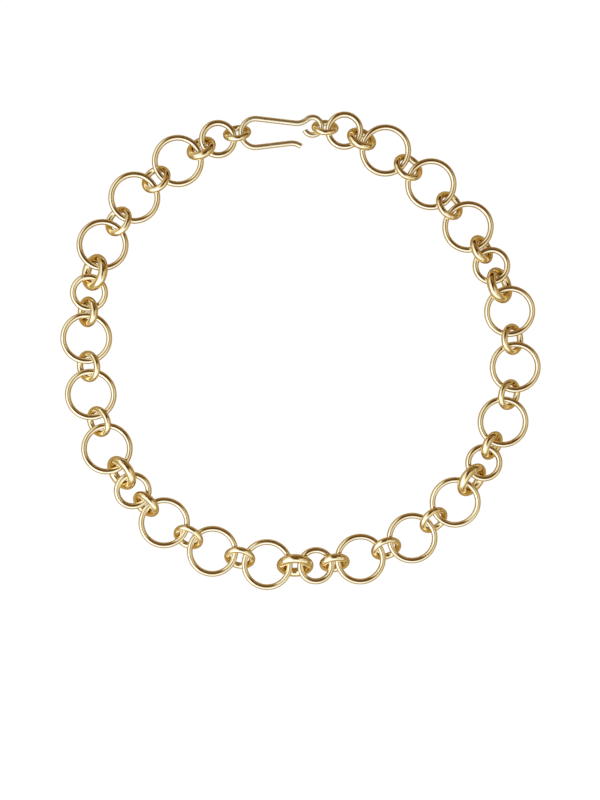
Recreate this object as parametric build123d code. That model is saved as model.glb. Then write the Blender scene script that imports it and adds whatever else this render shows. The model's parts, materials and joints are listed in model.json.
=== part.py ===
"""A chain necklace of round rings with a hook clasp, laid out in a loop on a flat surface.

Millimetres, +Z up. The loop lies flat with its clasp towards +Y, and the origin is on
the surface, under the middle of the loop. Flat rings and leaning links take turns round
the loop, and every piece is its own solid. Pieces are listed clockwise from the hook,
seen from above.
"""
from build123d import *
import os
from math import cos, degrees, radians, sin, sqrt

# ---- driving dimensions ----

# kind of ring or link: (radius of its centreline, radius of its wire)
SIZES = {
    "small_ring": (5.2, 1.0),
    "large_ring": (7.5, 0.95),
    "light_link": (4.15, 1.05),
    "heavy_link": (3.75, 1.3),
    "bold_link": (4.6, 1.5),
    "hook_link": (3.5, 0.95),
    "end_link": (3.65, 1.0),
}

# degrees that each link's plane stands up from the surface it leans over
LIE = {"light_link": 44, "heavy_link": 53, "bold_link": 52, "hook_link": 60, "end_link": 60}

# the order of the pieces from the hook's curl clockwise to the end link
REPEAT = [
    "large_ring", "light_link", "large_ring", "light_link",
    "large_ring", "heavy_link", "small_ring",
]
ORDER = ["hook_link", "small_ring", "heavy_link"]
ORDER += 5 * (REPEAT + ["bold_link"]) + REPEAT + ["end_link"]

PLAY = 0.4            # slack left along the chain where two wires hold each other

# distance of the loop's line from its middle, every 30 degrees, anticlockwise from +X
LOOP_RADII = [70.7, 68.0, 69.8, 74.7, 74.1, 74.1, 70.9, 72.2, 73.2, 71.7, 72.5, 70.9]
LOOP_STEP = 360 / len(LOOP_RADII)
FIRST_RING_AT = 79.3  # degrees from +X to the first ring after the hook
CLASP_BOW = 13.0      # degrees that the clasp's two links turn outwards from its rings

# the hook, bent from one wire: its long axis joins the bend to the curl
HOOK_WIRE = 0.9             # radius of the wire
BEND_RADIUS = 4.64
BEND_OFF_AXIS = 0.3         # the bend's centre lies this far inward of the long axis
SHANK_SLOPE = 10.4          # degrees that the shank falls towards the curl
SHANK_RUN = 12.4
DIP_RADIUS = 5.0
DIP_TURN = 47.6             # degrees, up from the shank and into the curl
CURL_RADIUS = 2.85
CURL_TURN = 285.0           # degrees of wire in the curl
PRONG_SLOPE = 3.2           # degrees that the prong rises towards its tip
PRONG_RUN = 10.6
TIP_RADIUS = 5.2
TIP_TURN = 44.0             # degrees that the tip turns away from the shank
TIP_EDGE = 0.2              # rounding of the cut ends' rims

UP = Vector(0, 0, 1)


# ---- the chain's layout ----

def reach(link, other_wire):
    """How far a wire held in a link sits from the link's centre."""
    radius, wire = SIZES[link]
    return radius - wire - other_wire - PLAY


def stand(link):
    """Height of a link's centre, when its lowest point is on the surface."""
    radius, wire = SIZES[link]
    return radius * sin(radians(LIE[link])) + wire


def spacing(ring, link):
    """Distance between the centres of a ring and a link that hold each other."""
    radius, wire = SIZES[ring]
    return radius + reach(link, wire)


def loop_radius(turn):
    """Distance of the loop's line from its middle, a smooth curve through LOOP_RADII."""
    place = (turn / LOOP_STEP) % len(LOOP_RADII)
    first = int(place)
    t = place - first
    a, b, c, d = (LOOP_RADII[(first + i) % len(LOOP_RADII)] for i in (-1, 0, 1, 2))
    return b + t / 2 * (c - a + t * (2 * a - 5 * b + 4 * c - d + t * (3 * (b - c) + d - a)))


def loop_point(turn, scale):
    """Point of the loop's line in a direction given in degrees."""
    radius = scale * loop_radius(turn)
    return Vector(radius * cos(radians(turn)), radius * sin(radians(turn)), 0)


def walk(spans, scale):
    """Directions of the rings, stepping clockwise by each span in turn."""
    turns = [FIRST_RING_AT]
    for span in spans:
        step = degrees(span / loop_radius(turns[-1]))
        for _ in range(8):
            chord = loop_point(turns[-1] - step, scale) - loop_point(turns[-1], scale)
            step *= span / chord.length
        turns.append(turns[-1] - step)
    return turns


def close_loop(spans):
    """Ring centres on the loop, at the one scale where the chain ends where it began."""
    small, large = 0.8, 1.2
    for _ in range(50):
        scale = (small + large) / 2
        turns = walk(spans, scale)
        if turns[0] - turns[-1] > 360:
            small = scale
        else:
            large = scale
    return [loop_point(turn, scale) for turn in turns[:-1]]


def clasp_span(ring, hook_length):
    """Distance between the centres of the two rings that the clasp joins."""
    links = spacing(ring, "hook_link") + spacing(ring, "end_link")
    held = reach("hook_link", HOOK_WIRE) + reach("end_link", HOOK_WIRE)
    return links * cos(radians(CLASP_BOW)) + held + hook_length


def lay_out(hook_length):
    """Kind, centre and normal of every ring and link, and where the hook begins and ends."""
    links = ORDER[::2]
    rings = ORDER[1::2]
    spans = [
        spacing(ring, link) + spacing(after, link)
        for ring, link, after in zip(rings, links[1:], rings[1:])
    ]
    spans.append(clasp_span(rings[0], hook_length))
    centres = close_loop(spans)

    # each link's direction along the chain and its centre, from the rings beside it
    alongs = [(after - centre).normalized() for centre, after in zip(centres, centres[1:])]
    spots = [
        centre + along * spacing(ring, link)
        for centre, along, ring, link in zip(centres, alongs, rings, links[1:])
    ]
    across = (centres[0] - centres[-1]).normalized()
    from_end = across.rotate(Axis.Z, CLASP_BOW)
    to_start = across.rotate(Axis.Z, -CLASP_BOW)
    spots.insert(0, centres[0] - to_start * spacing(rings[0], "hook_link"))
    spots.append(centres[-1] + from_end * spacing(rings[-1], "end_link"))
    alongs.insert(0, (across + to_start).normalized())
    alongs.append((across + from_end).normalized())
    spots = [spot + UP * stand(link) for spot, link in zip(spots, links)]

    pieces = [
        [link, spot, link_normal(along, spot, link)]
        for link, spot, along in zip(links, spots, alongs)
    ]
    for index, (ring, centre) in enumerate(zip(rings, centres)):
        before, after = spots[index], spots[index + 1]
        along = (after - before).normalized()
        level = UP * (before.Z + after.Z) / 2
        normal = along.cross(UP).normalized().cross(along)
        pieces.insert(2 * index + 1, [ring, centre + level, normal])

    hook_along = (spots[0] - spots[-1]).normalized()
    bend_end = spots[-1] + hook_along * reach("end_link", HOOK_WIRE)
    curl_end = spots[0] - hook_along * reach("hook_link", HOOK_WIRE)
    return pieces, bend_end, curl_end


def link_normal(along, spot, kind):
    """Normal of a link that leans its upper side towards the middle of the loop."""
    inward = UP.cross(along)
    if inward.dot(spot) > 0:
        inward = -inward
    lie = radians(LIE[kind])
    rise = inward * cos(lie) + UP * sin(lie)
    return along.cross(rise).normalized()


# ---- the shapes ----

def ring_solid(kind, centre, normal):
    """A closed ring of round wire."""
    radius, wire = SIZES[kind]
    return Plane(origin=centre, z_dir=normal) * Torus(radius, wire)


def hook_line():
    """Centreline of the hook from tip to curl, its long axis along X, and its length."""
    across = sqrt(BEND_RADIUS**2 - BEND_OFF_AXIS**2)
    half_turns = 180 + SHANK_SLOPE + PRONG_SLOPE
    bend = CenterArc((across, -BEND_OFF_AXIS), BEND_RADIUS, 90 - SHANK_SLOPE, half_turns)
    shank = PolarLine(bend @ 0, SHANK_RUN, angle=-SHANK_SLOPE)
    dip = JernArc(shank @ 1, shank % 1, DIP_RADIUS, DIP_TURN)
    curl = JernArc(dip @ 1, dip % 1, CURL_RADIUS, -CURL_TURN)
    prong = PolarLine(bend @ 1, PRONG_RUN, angle=PRONG_SLOPE)
    tip = JernArc(prong @ 1, prong % 1, TIP_RADIUS, -TIP_TURN)
    far_side = sqrt(CURL_RADIUS**2 - curl.arc_center.Y**2)
    return Wire([tip, prong, bend, shank, dip, curl]), curl.arc_center.X + far_side


def hook_solid(line, bend_end, curl_end):
    """The hook's round wire along its centreline, with its cut ends' rims rounded."""
    section = Plane(origin=line @ 0, z_dir=line % 0) * Circle(HOOK_WIRE)
    wire = sweep(section, path=line)
    wire = fillet(wire.edges().filter_by(GeomType.CIRCLE).sort_by(SortBy.LENGTH), TIP_EDGE)
    lie = Plane(origin=bend_end, x_dir=curl_end - bend_end, z_dir=UP)
    return lie * wire


def centred(solids):
    """The same solids with the middle of their footprint at the origin."""
    boxes = [solid.bounding_box() for solid in solids.values()]
    middle_x = (min(box.min.X for box in boxes) + max(box.max.X for box in boxes)) / 2
    middle_y = (min(box.min.Y for box in boxes) + max(box.max.Y for box in boxes)) / 2
    floor = min(box.min.Z for box in boxes)
    shift = Pos(-middle_x, -middle_y, -floor)
    return {name: shift * solid for name, solid in solids.items()}


def main():
    """Makes every piece and writes one STEP file for each."""
    line, hook_length = hook_line()
    pieces, bend_end, curl_end = lay_out(hook_length)
    solids = {"hook": hook_solid(line, bend_end, curl_end)}
    made = {}
    for kind, centre, normal in pieces:
        made[kind] = made.get(kind, 0) + 1
        name = kind if kind in ("hook_link", "end_link") else f"{kind}_{made[kind]:02d}"
        solids[name] = ring_solid(kind, centre, normal)
    os.makedirs("parts", exist_ok=True)
    for name, solid in centred(solids).items():
        export_step(solid, f"parts/{name}.step")


if __name__ == "__main__":
    main()
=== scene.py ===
"""The looks of a gold chain necklace: polished rings and links, a wire hook, floor, light, camera."""
import bmesh
import bpy
import json
from math import atan2, cos, exp, pi, radians, sin, tau
from mathutils import Matrix, Vector, noise
from random import Random


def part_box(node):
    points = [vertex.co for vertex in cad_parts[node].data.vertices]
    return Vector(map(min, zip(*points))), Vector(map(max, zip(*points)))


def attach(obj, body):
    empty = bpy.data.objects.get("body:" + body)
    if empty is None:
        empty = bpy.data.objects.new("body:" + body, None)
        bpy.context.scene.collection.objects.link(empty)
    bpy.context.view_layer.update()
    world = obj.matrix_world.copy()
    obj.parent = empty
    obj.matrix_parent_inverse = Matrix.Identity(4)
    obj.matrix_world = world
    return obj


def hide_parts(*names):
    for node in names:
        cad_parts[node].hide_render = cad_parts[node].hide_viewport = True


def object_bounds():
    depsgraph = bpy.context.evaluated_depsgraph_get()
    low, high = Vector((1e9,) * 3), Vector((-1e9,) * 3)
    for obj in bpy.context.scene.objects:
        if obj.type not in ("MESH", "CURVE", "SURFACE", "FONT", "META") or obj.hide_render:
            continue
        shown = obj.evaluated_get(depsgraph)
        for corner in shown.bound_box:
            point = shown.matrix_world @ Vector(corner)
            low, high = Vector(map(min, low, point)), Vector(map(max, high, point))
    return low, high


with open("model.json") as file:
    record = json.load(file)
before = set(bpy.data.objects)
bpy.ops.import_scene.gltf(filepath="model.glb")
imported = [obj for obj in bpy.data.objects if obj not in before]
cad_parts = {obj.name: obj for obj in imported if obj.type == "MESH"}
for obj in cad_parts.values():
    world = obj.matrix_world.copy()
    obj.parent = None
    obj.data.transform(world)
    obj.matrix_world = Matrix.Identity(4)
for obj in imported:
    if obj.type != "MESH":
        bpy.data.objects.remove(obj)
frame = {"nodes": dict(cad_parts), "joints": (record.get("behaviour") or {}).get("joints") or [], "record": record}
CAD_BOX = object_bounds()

NODES = frame["nodes"]
MM = 0.001
UP = Vector((0, 0, 1))
CENTRE = (CAD_BOX[0] + CAD_BOX[1]) / 2

# ---- the rings and links ----

ROUND_STEPS = 96            # mesh steps round a ring
WIRE_STEPS = 28             # mesh steps round a wire
# the finer steps at a ring's closure, in halves of the hairline's width
SEAM_STEPS = (-6, -4, -3, -2, -1.3, -0.7, 0, 0.7, 1.3, 2, 3, 4, 6)
SEAM_REACH = 7              # where the ordinary steps start again, in the same unit
SEAM_HALF = 0.16 * MM       # half the width of the hairline where a ring was closed
SEAM_DEPTH = 0.03 * MM
OPEN_SEAM_DEPTH = 0.12 * MM  # of the few seams that show
SOLDER_HALF = 0.55 * MM     # how far the smoothed solder reaches each side of the hairline
SOLDER_RISE = 0.018 * MM
WAVE = 0.008                # hand polishing: how far a wire swells and thins, as a share of its radius
WAVE_SIZE = 2.2 * MM
WAVE_SPREAD = 7             # keeps neighbouring rings from sharing one pattern of waves

# a ring's normal is found from a first guess, improved this many times
FIRST_GUESS = Vector((0.2, 0.3, 1))
GUESSES = 60


def measure_ring(name):
    """Centre, normal, radius and wire radius of a CAD ring, from its mesh."""
    points = [vertex.co for vertex in NODES[name].data.vertices]
    low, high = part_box(name)
    centre = (low + high) / 2
    arms = [point - centre for point in points]
    normal = flattest_direction(arms)
    out = [(arm - normal * arm.dot(normal)).length for arm in arms]
    return centre, normal, (max(out) + min(out)) / 2, (max(out) - min(out)) / 2


def flattest_direction(arms):
    """Unit vector across the thin way of a ring-shaped cloud of points round the origin.

    It is the direction in which the points spread least, found by repeated multiplication
    with the inverse of their spread, which turns any first guess towards it.
    """
    spread = Matrix.Diagonal((0, 0, 0))
    for arm in arms:
        for row in range(3):
            for column in range(3):
                spread[row][column] += arm[row] * arm[column]
    guess = FIRST_GUESS
    inverse = spread.inverted()
    for _ in range(GUESSES):
        guess = (inverse @ guess).normalized()
    return guess if guess.z >= 0 else -guess


def seam_profile(distance, depth):
    """How much a wire's surface moves out, at a distance along it from its closure."""
    rise = SOLDER_RISE * exp(-((distance / SOLDER_HALF) ** 2))
    return rise - depth * exp(-((distance / SEAM_HALF) ** 2))


def ring_angles(seam, radius):
    """Angles of the mesh steps round a ring, closer together at its seam."""
    near = SEAM_HALF / radius
    fine = [seam + near * step for step in SEAM_STEPS]
    gap = SEAM_REACH * near
    coarse = [seam + gap + (tau - 2 * gap) * step / ROUND_STEPS for step in range(ROUND_STEPS + 1)]
    return fine + coarse


def add_tube(mesh, frames, closed):
    """Adds a tube through rows of points, each row a closed loop round the wire."""
    rows = [[mesh.verts.new(point) for point in row] for row in frames]
    pairs = list(zip(rows, rows[1:]))
    if closed:
        pairs.append((rows[-1], rows[0]))
    for first, second in pairs:
        for index, here in enumerate(first):
            after = (index + 1) % len(first)
            mesh.faces.new((here, first[after], second[after], second[index]))
    return rows


def finish_mesh(mesh, name):
    """Turns a bmesh into a smooth-shaded object."""
    bmesh.ops.recalc_face_normals(mesh, faces=mesh.faces[:])
    data = bpy.data.meshes.new(name)
    mesh.to_mesh(data)
    mesh.free()
    for face in data.polygons:
        face.use_smooth = True
    made = bpy.data.objects.new(name, data)
    bpy.context.scene.collection.objects.link(made)
    return made


def make_ring(name, towards, depth):
    """A ring of polished round wire on a CAD ring's own circle, with its soldered seam on one side."""
    centre, normal, radius, wire = measure_ring(name)
    side = normal.cross(Vector((0, 1, 0))).normalized()
    across = normal.cross(side)
    heading = Vector((cos(towards), sin(towards), 0))
    seam = atan2(heading.dot(across), heading.dot(side))
    wave_at = centre * WAVE_SPREAD
    frames = []
    for angle in ring_angles(seam, radius):
        out = side * cos(angle) + across * sin(angle)
        apart = (angle - seam + pi) % tau - pi
        seam_move = seam_profile(apart * radius, depth)
        row = []
        for step in range(WIRE_STEPS):
            turn = tau * step / WIRE_STEPS
            arm = out * cos(turn) + normal * sin(turn)
            spot = centre + out * radius + arm * wire
            swell = noise.noise((spot + wave_at) / WAVE_SIZE) * WAVE * wire
            row.append(spot + arm * (seam_move + swell))
        frames.append(row)
    mesh = bmesh.new()
    add_tube(mesh, frames, closed=True)
    return finish_mesh(mesh, name + "_polished")


# ---- the hook ----

HOOK_WIRE = 0.9 * MM
HOOK_STEP = 0.16 * MM       # spacing of the mesh steps along the hook
END_ROUND = 0.2 * MM        # rounding of the cut ends' rims
END_STEPS = (20, 40, 60, 75, 90)  # degrees round that rounding
DRAW_LINES = 0.004          # depth of the fine lines along the drawn wire, as a share of its radius
DRAW_WAVES = ((7, 0), (12, 1), (5, 2))  # the lines as waves: how many round the wire, and phase

# the hook's bends from its tip to its curl: (radius, or 0 for straight; degrees of turn, or length)
TIP_HEADING = 139.2         # degrees from the long axis, setting out from the tip
HOOK_BENDS = [
    (5.2 * MM, 44.0),
    (0, 10.6 * MM),
    (4.64 * MM, -193.6),
    (0, 12.4 * MM),
    (5.0 * MM, 47.6),
    (2.85 * MM, -285.0),
]


def bend_wire(bends, heading):
    """Points and headings along a flat wire that sets out from the origin, from its list of bends."""
    spot, way = Vector((0, 0)), radians(heading)
    points = [(spot, way)]
    for radius, amount in bends:
        length = amount if radius == 0 else radius * radians(abs(amount))
        steps = max(2, round(length / HOOK_STEP))
        turn = 0 if radius == 0 else radians(amount) / steps
        stride = length / steps if radius == 0 else 2 * radius * sin(abs(turn) / 2)
        for _ in range(steps):
            way += turn / 2
            spot = spot + Vector((cos(way), sin(way))) * stride
            way += turn / 2
            points.append((spot, way))
    return points


def rounded_ends(points):
    """The wire's stations as (point, heading, share of the full radius), with rounded rims."""
    stations = [(spot, way, 1.0) for spot, way in points]
    for end, sign in ((0, -1), (-1, 1)):
        spot, way = points[end]
        forward = Vector((cos(way), sin(way))) * sign
        rim = []
        for degrees_in in END_STEPS:
            angle = radians(degrees_in)
            pull = END_ROUND * (sin(angle) - 1)
            share = 1 - END_ROUND / HOOK_WIRE * (1 - cos(angle))
            rim.append((spot + forward * pull, way, share))
        trimmed = END_ROUND + HOOK_STEP / 2
        keep = [item for item in stations if (item[0] - spot).length > trimmed]
        stations = rim[::-1] + keep if end == 0 else keep + rim
    return stations


def make_hook():
    """The hook's drawn wire along its bends, placed on the CAD hook."""
    roll = next(joint for joint in frame["joints"] if joint["child"] == "hook")
    along = Vector(roll["axis"])
    along = along if along.x > 0 else -along
    side = UP.cross(along).normalized()
    above = along.cross(side)
    frames = []
    for spot, way, share in rounded_ends(bend_wire(HOOK_BENDS, TIP_HEADING)):
        middle = along * spot.x + side * spot.y
        out = side * cos(way) - along * sin(way)
        row = []
        for step in range(WIRE_STEPS):
            turn = tau * step / WIRE_STEPS
            waves = [sin(count * turn + phase) for count, phase in DRAW_WAVES]
            line = DRAW_LINES * sum(waves) / len(waves)
            arm = out * cos(turn) + above * sin(turn)
            swell = noise.noise((middle + arm * HOOK_WIRE) / WAVE_SIZE) * WAVE
            row.append(middle + arm * HOOK_WIRE * share * (1 + line + swell))
        frames.append(row)
    mesh = bmesh.new()
    rows = add_tube(mesh, frames, closed=False)
    for row in (rows[0], rows[-1]):
        hub = mesh.verts.new(sum((vertex.co for vertex in row), Vector()) / len(row))
        for index, here in enumerate(row):
            mesh.faces.new((here, row[(index + 1) % len(row)], hub))
    made = finish_mesh(mesh, "hook_polished")
    centre_on(made, "hook")
    return made


def centre_on(made, name):
    """Moves a mesh so that its box and a CAD node's box have one middle."""
    low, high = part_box(name)
    points = [vertex.co for vertex in made.data.vertices]
    for axis in range(3):
        values = [point[axis] for point in points]
        shift = (low[axis] + high[axis] - min(values) - max(values)) / 2
        for point in points:
            point[axis] += shift


# ---- gold ----

NOISE_LOW = 0.3             # noise mostly lies between these two
NOISE_HIGH = 0.7
DRIFT_SCALE = 140.0         # noise scales: slow drift of the colour, rubbed patches, hand waves
PATCH_SCALE = 620.0
WAVES_SCALE = 450.0
WAVES_DEPTH = 0.02 * MM
WAVES_STRENGTH = 0.35
LINES_DEPTH = 0.003 * MM    # fine polishing lines
LINES_STRENGTH = 0.15


def node(tree, kind, **inputs):
    """A shader node with some of its inputs set or linked."""
    made = tree.nodes.new(kind)
    for name, value in inputs.items():
        socket = made.inputs[name.replace("_", " ")]
        if isinstance(value, bpy.types.NodeSocket):
            tree.links.new(value, socket)
        else:
            socket.default_value = value
    return made


def ramp(tree, factor, stops):
    """A colour ramp through stops, each a position and a colour."""
    made = tree.nodes.new("ShaderNodeValToRGB")
    tree.links.new(factor, made.inputs["Fac"])
    elements = made.color_ramp.elements
    for position, _ in stops[1:-1]:
        elements.new(position)
    for element, (position, colour) in zip(elements, stops):
        element.position = position
        element.color = (*colour, 1)
    return made.outputs["Color"]


def scaled(tree, noise_value, low, high):
    """A noise's value mapped to a range."""
    made = node(tree, "ShaderNodeMapRange", Value=noise_value, From_Min=NOISE_LOW,
                From_Max=NOISE_HIGH, To_Min=low, To_Max=high)
    return made.outputs["Result"]


def gold(name, deep, pale, smooth, rubbed, grain, stretch):
    """Polished gold between two colours and two roughnesses, with waves and fine lines on it."""
    material = bpy.data.materials.new(name)
    material.use_nodes = True
    tree = material.node_tree
    shader = tree.nodes["Principled BSDF"]
    place = tree.nodes.new("ShaderNodeTexCoord").outputs["Object"]
    drift = node(tree, "ShaderNodeTexNoise", Vector=place, Scale=DRIFT_SCALE, Detail=3.0)
    patch = node(tree, "ShaderNodeTexNoise", Vector=place, Scale=PATCH_SCALE, Detail=4.0)
    waves = node(tree, "ShaderNodeTexNoise", Vector=place, Scale=WAVES_SCALE, Detail=1.0)
    drawn = node(tree, "ShaderNodeMapping", Vector=place, Scale=stretch)
    lines = node(tree, "ShaderNodeTexNoise", Vector=drawn.outputs["Vector"], Scale=grain, Detail=2.0)
    colour = ramp(tree, drift.outputs["Fac"], [(NOISE_LOW, deep), (NOISE_HIGH, pale)])
    tree.links.new(colour, shader.inputs["Base Color"])
    tree.links.new(scaled(tree, patch.outputs["Fac"], smooth, rubbed), shader.inputs["Roughness"])
    wavy = node(tree, "ShaderNodeBump", Height=waves.outputs["Fac"],
                Strength=WAVES_STRENGTH, Distance=WAVES_DEPTH)
    fine = node(tree, "ShaderNodeBump", Height=lines.outputs["Fac"],
                Strength=LINES_STRENGTH, Distance=LINES_DEPTH, Normal=wavy.outputs["Normal"])
    tree.links.new(fine.outputs["Normal"], shader.inputs["Normal"])
    shader.inputs["Metallic"].default_value = 1.0
    return material


GOLDS = {
    "ring_gold": gold("ring gold", deep=(0.90, 0.75, 0.46), pale=(0.94, 0.80, 0.51),
                      smooth=0.01, rubbed=0.05, grain=5200, stretch=(1, 1, 3)),
    "link_gold": gold("link gold", deep=(0.89, 0.72, 0.40), pale=(0.94, 0.79, 0.48),
                      smooth=0.01, rubbed=0.05, grain=4800, stretch=(2, 1, 1)),
    "hook_gold": gold("hook gold", deep=(0.91, 0.77, 0.49), pale=(0.95, 0.82, 0.54),
                      smooth=0.26, rubbed=0.34, grain=5200, stretch=(0.2, 1, 1)),
}


def paint(piece, slot):
    """Gives a piece its gold and its slot."""
    piece.data.materials.clear()
    piece.data.materials.append(GOLDS[slot])


# ---- the necklace ----

SLOTS = {part["node"]: part["material_slot"] for part in frame["record"]["subparts"]}
BODY_OF = {name: body for body, names in frame["record"]["behaviour"]["bodies"].items() for name in names}
# where the seam shows on the thickest links, in degrees from +X; the others close anywhere
SEAMS = {"bold_link_01": 150, "bold_link_02": 120, "bold_link_04": 225}
SEED = 52
draw = Random(SEED)

for part in sorted(SLOTS):
    anywhere = draw.uniform(0, tau)
    towards = radians(SEAMS[part]) if part in SEAMS else anywhere
    depth = OPEN_SEAM_DEPTH if part in SEAMS else SEAM_DEPTH
    piece = make_hook() if part == "hook" else make_ring(part, towards, depth)
    paint(piece, SLOTS[part])
    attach(piece, BODY_OF[part])
    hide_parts(part)


# ---- floor, light and camera ----

FLOOR_SHADE_TINT = (0.72, 0.52, 0.22)  # painted reflection and painted shade: the sheet's colour as the metal mirrors it, warm so that shaded gold is deep
FLOOR_HALF = 3              # metres from its middle to its edges
FLOOR_GAP = 0.05 * MM       # below the necklace, so that the two never share a surface
BACKDROP_WHITE = 1.02       # what the camera sees round the necklace, blown out to plain white

# the tent's colours, from its darkest corner to its brightest wall
TENT_COLOURS = [
    (0.00, (0.050, 0.018, 0.006)),
    (0.20, (0.220, 0.120, 0.048)),
    (0.42, (0.560, 0.455, 0.270)),
    (0.60, (0.880, 0.900, 0.830)),
    (0.80, (1.080, 1.260, 1.620)),
    (1.00, (1.300, 1.560, 2.150)),
]
TENT_LEVEL = 0.335          # the place of its plain walls among those colours
TENT_WALLS = 0.28           # from the darkest of its uneven panels to the lightest
PANEL_SCALE = 1.7
# soft patches on the tent: azimuth from +X, degrees from straight up, degrees from its middle
# to where it starts to fade and to where it ends, and how far it moves the level
TENT_PATCHES = [
    (0, 0, 62, 80, 0.33),       # the bright dome
    (0, 0, 10, 28, -0.42),      # the dark hole at its top, where the lens looks in
    (228, 50, 30, 54, 0.26),    # the bright side
    (80, 51, 28, 45, -0.52),    # the dark opening
    (150, 68, 16, 40, 0.12),    # a lighter panel
    (5, 84, 25, 55, -0.16),     # a darker panel, low down
]


def make_floor():
    """A wide plain sheet under the necklace, which lights the metal from below. Its warm colour is a painted
    reflection and painted shade, seen only in the metal.

    The camera sees the tent's plain white instead of it, and from below it is clear, so that a
    fold that turns part of the necklace down through it still shows.
    """
    mesh = bmesh.new()
    bmesh.ops.create_grid(mesh, x_segments=2, y_segments=2, size=FLOOR_HALF)
    floor = finish_mesh(mesh, "floor")
    floor.location.z = CAD_BOX[0].z - FLOOR_GAP
    material = bpy.data.materials.new("floor sheet")
    material.use_nodes = True
    tree = material.node_tree
    tree.nodes.clear()
    # painted reflection and shade: the warm sheet colour tints the gold's reflections and deepens its shaded parts
    sheet = node(tree, "ShaderNodeBsdfDiffuse", Color=(*FLOOR_SHADE_TINT, 1))
    clear = node(tree, "ShaderNodeBsdfTransparent", Color=(1, 1, 1, 1))
    from_below = tree.nodes.new("ShaderNodeNewGeometry").outputs["Backfacing"]
    tree.links.new(mixed(tree, from_below, sheet.outputs[0], clear.outputs[0]),
                   tree.nodes.new("ShaderNodeOutputMaterial").inputs["Surface"])
    floor.data.materials.append(material)
    floor.visible_camera = False


def mixed(tree, share, first, second):
    """Mixes two shaders; a share of 1 is all the second."""
    mix = tree.nodes.new("ShaderNodeMixShader")
    for socket, value in zip(mix.inputs, (share, first, second)):
        tree.links.new(value, socket)
    return mix.outputs[0]


def added(tree, first, second):
    """The sum of two values."""
    made = tree.nodes.new("ShaderNodeMath")
    made.operation = "ADD"
    tree.links.new(first, made.inputs[0])
    tree.links.new(second, made.inputs[1])
    return made.outputs[0]


def soft_patch(tree, way, azimuth, down, full, reach, amount):
    """How much a round patch with a soft edge adds to the tent's brightness in each direction."""
    flat = Vector((cos(radians(azimuth)), sin(radians(azimuth)), 0)) * sin(radians(down))
    along = tree.nodes.new("ShaderNodeVectorMath")
    along.operation = "DOT_PRODUCT"
    tree.links.new(way, along.inputs[0])
    along.inputs[1].default_value = flat + UP * cos(radians(down))
    patch = node(tree, "ShaderNodeMapRange", Value=along.outputs["Value"],
                 From_Min=cos(radians(reach)), From_Max=cos(radians(full)), To_Max=amount)
    patch.interpolation_type = "SMOOTHERSTEP"
    return patch.outputs["Result"]


def make_tent():
    """The light tent, which the metal reflects. The camera itself sees plain white."""
    world = bpy.data.worlds.new("tent")
    bpy.context.scene.world = world
    world.use_nodes = True
    tree = world.node_tree
    tree.nodes.clear()
    way = tree.nodes.new("ShaderNodeTexCoord").outputs["Generated"]
    panels = node(tree, "ShaderNodeTexNoise", Vector=way, Scale=PANEL_SCALE, Detail=1.0)
    level = scaled(tree, panels.outputs["Fac"], TENT_LEVEL - TENT_WALLS / 2, TENT_LEVEL + TENT_WALLS / 2)
    for patch in TENT_PATCHES:
        level = added(tree, soft_patch(tree, way, *patch), level)
    colours = ramp(tree, level, TENT_COLOURS)
    light = node(tree, "ShaderNodeBackground", Color=colours, Strength=1.0)
    white = node(tree, "ShaderNodeBackground", Color=(1, 1, 1, 1), Strength=BACKDROP_WHITE)
    seen = tree.nodes.new("ShaderNodeLightPath").outputs["Is Camera Ray"]
    tree.links.new(mixed(tree, seen, light.outputs[0], white.outputs[0]),
                   tree.nodes.new("ShaderNodeOutputWorld").inputs["Surface"])


SOFTBOX_SPOT = Vector((-0.30, -0.33, 0.42))  # from the necklace's middle
SOFTBOX_SIZE = 0.20
SOFTBOX_POWER = 0.25        # watts


def make_softbox():
    """A small square soft box that looks at the necklace."""
    light = bpy.data.lights.new("key", "AREA")
    light.size = SOFTBOX_SIZE
    light.energy = SOFTBOX_POWER
    box = bpy.data.objects.new("key", light)
    box.location = CENTRE + SOFTBOX_SPOT
    box.rotation_euler = SOFTBOX_SPOT.to_track_quat("Z", "Y").to_euler()
    bpy.context.scene.collection.objects.link(box)


PICTURE_SHAPE = 4 / 3       # the picture's height over its width
LOOP_SHARE = 0.8015         # of the picture's width that the necklace fills
LOOP_RISE = 0.0592          # of the picture's height that the necklace sits above its middle
LOOP_SIDE = 0.0029          # of its width that the necklace sits right of its middle
CAMERA_LENS = 85.0
CAMERA_TILT = 4.0           # degrees from straight down, towards the clasp
CAMERA_LEAN = 2.0           # degrees from straight down, towards -X


def make_camera():
    """A long lens that looks down on the necklace, a little from the clasp's side."""
    camera = bpy.data.cameras.new("camera")
    camera.lens = CAMERA_LENS
    size = CAD_BOX[1] - CAD_BOX[0]
    view_height = size.x / LOOP_SHARE * PICTURE_SHAPE
    away = view_height * camera.lens / camera.sensor_width
    tilt = Matrix.Rotation(radians(-CAMERA_TILT), 4, "X") @ Matrix.Rotation(radians(-CAMERA_LEAN), 4, "Y")
    aim = CENTRE - Vector((LOOP_SIDE * size.x / LOOP_SHARE, LOOP_RISE * view_height, 0))
    rig = bpy.data.objects.new("camera", camera)
    rig.matrix_world = Matrix.Translation(aim) @ tilt @ Matrix.Translation(Vector((0, 0, away)))
    bpy.context.scene.collection.objects.link(rig)
    bpy.context.scene.camera = rig


make_floor()
make_tent()
make_softbox()
make_camera()
bpy.context.scene.view_settings.view_transform = "Standard"
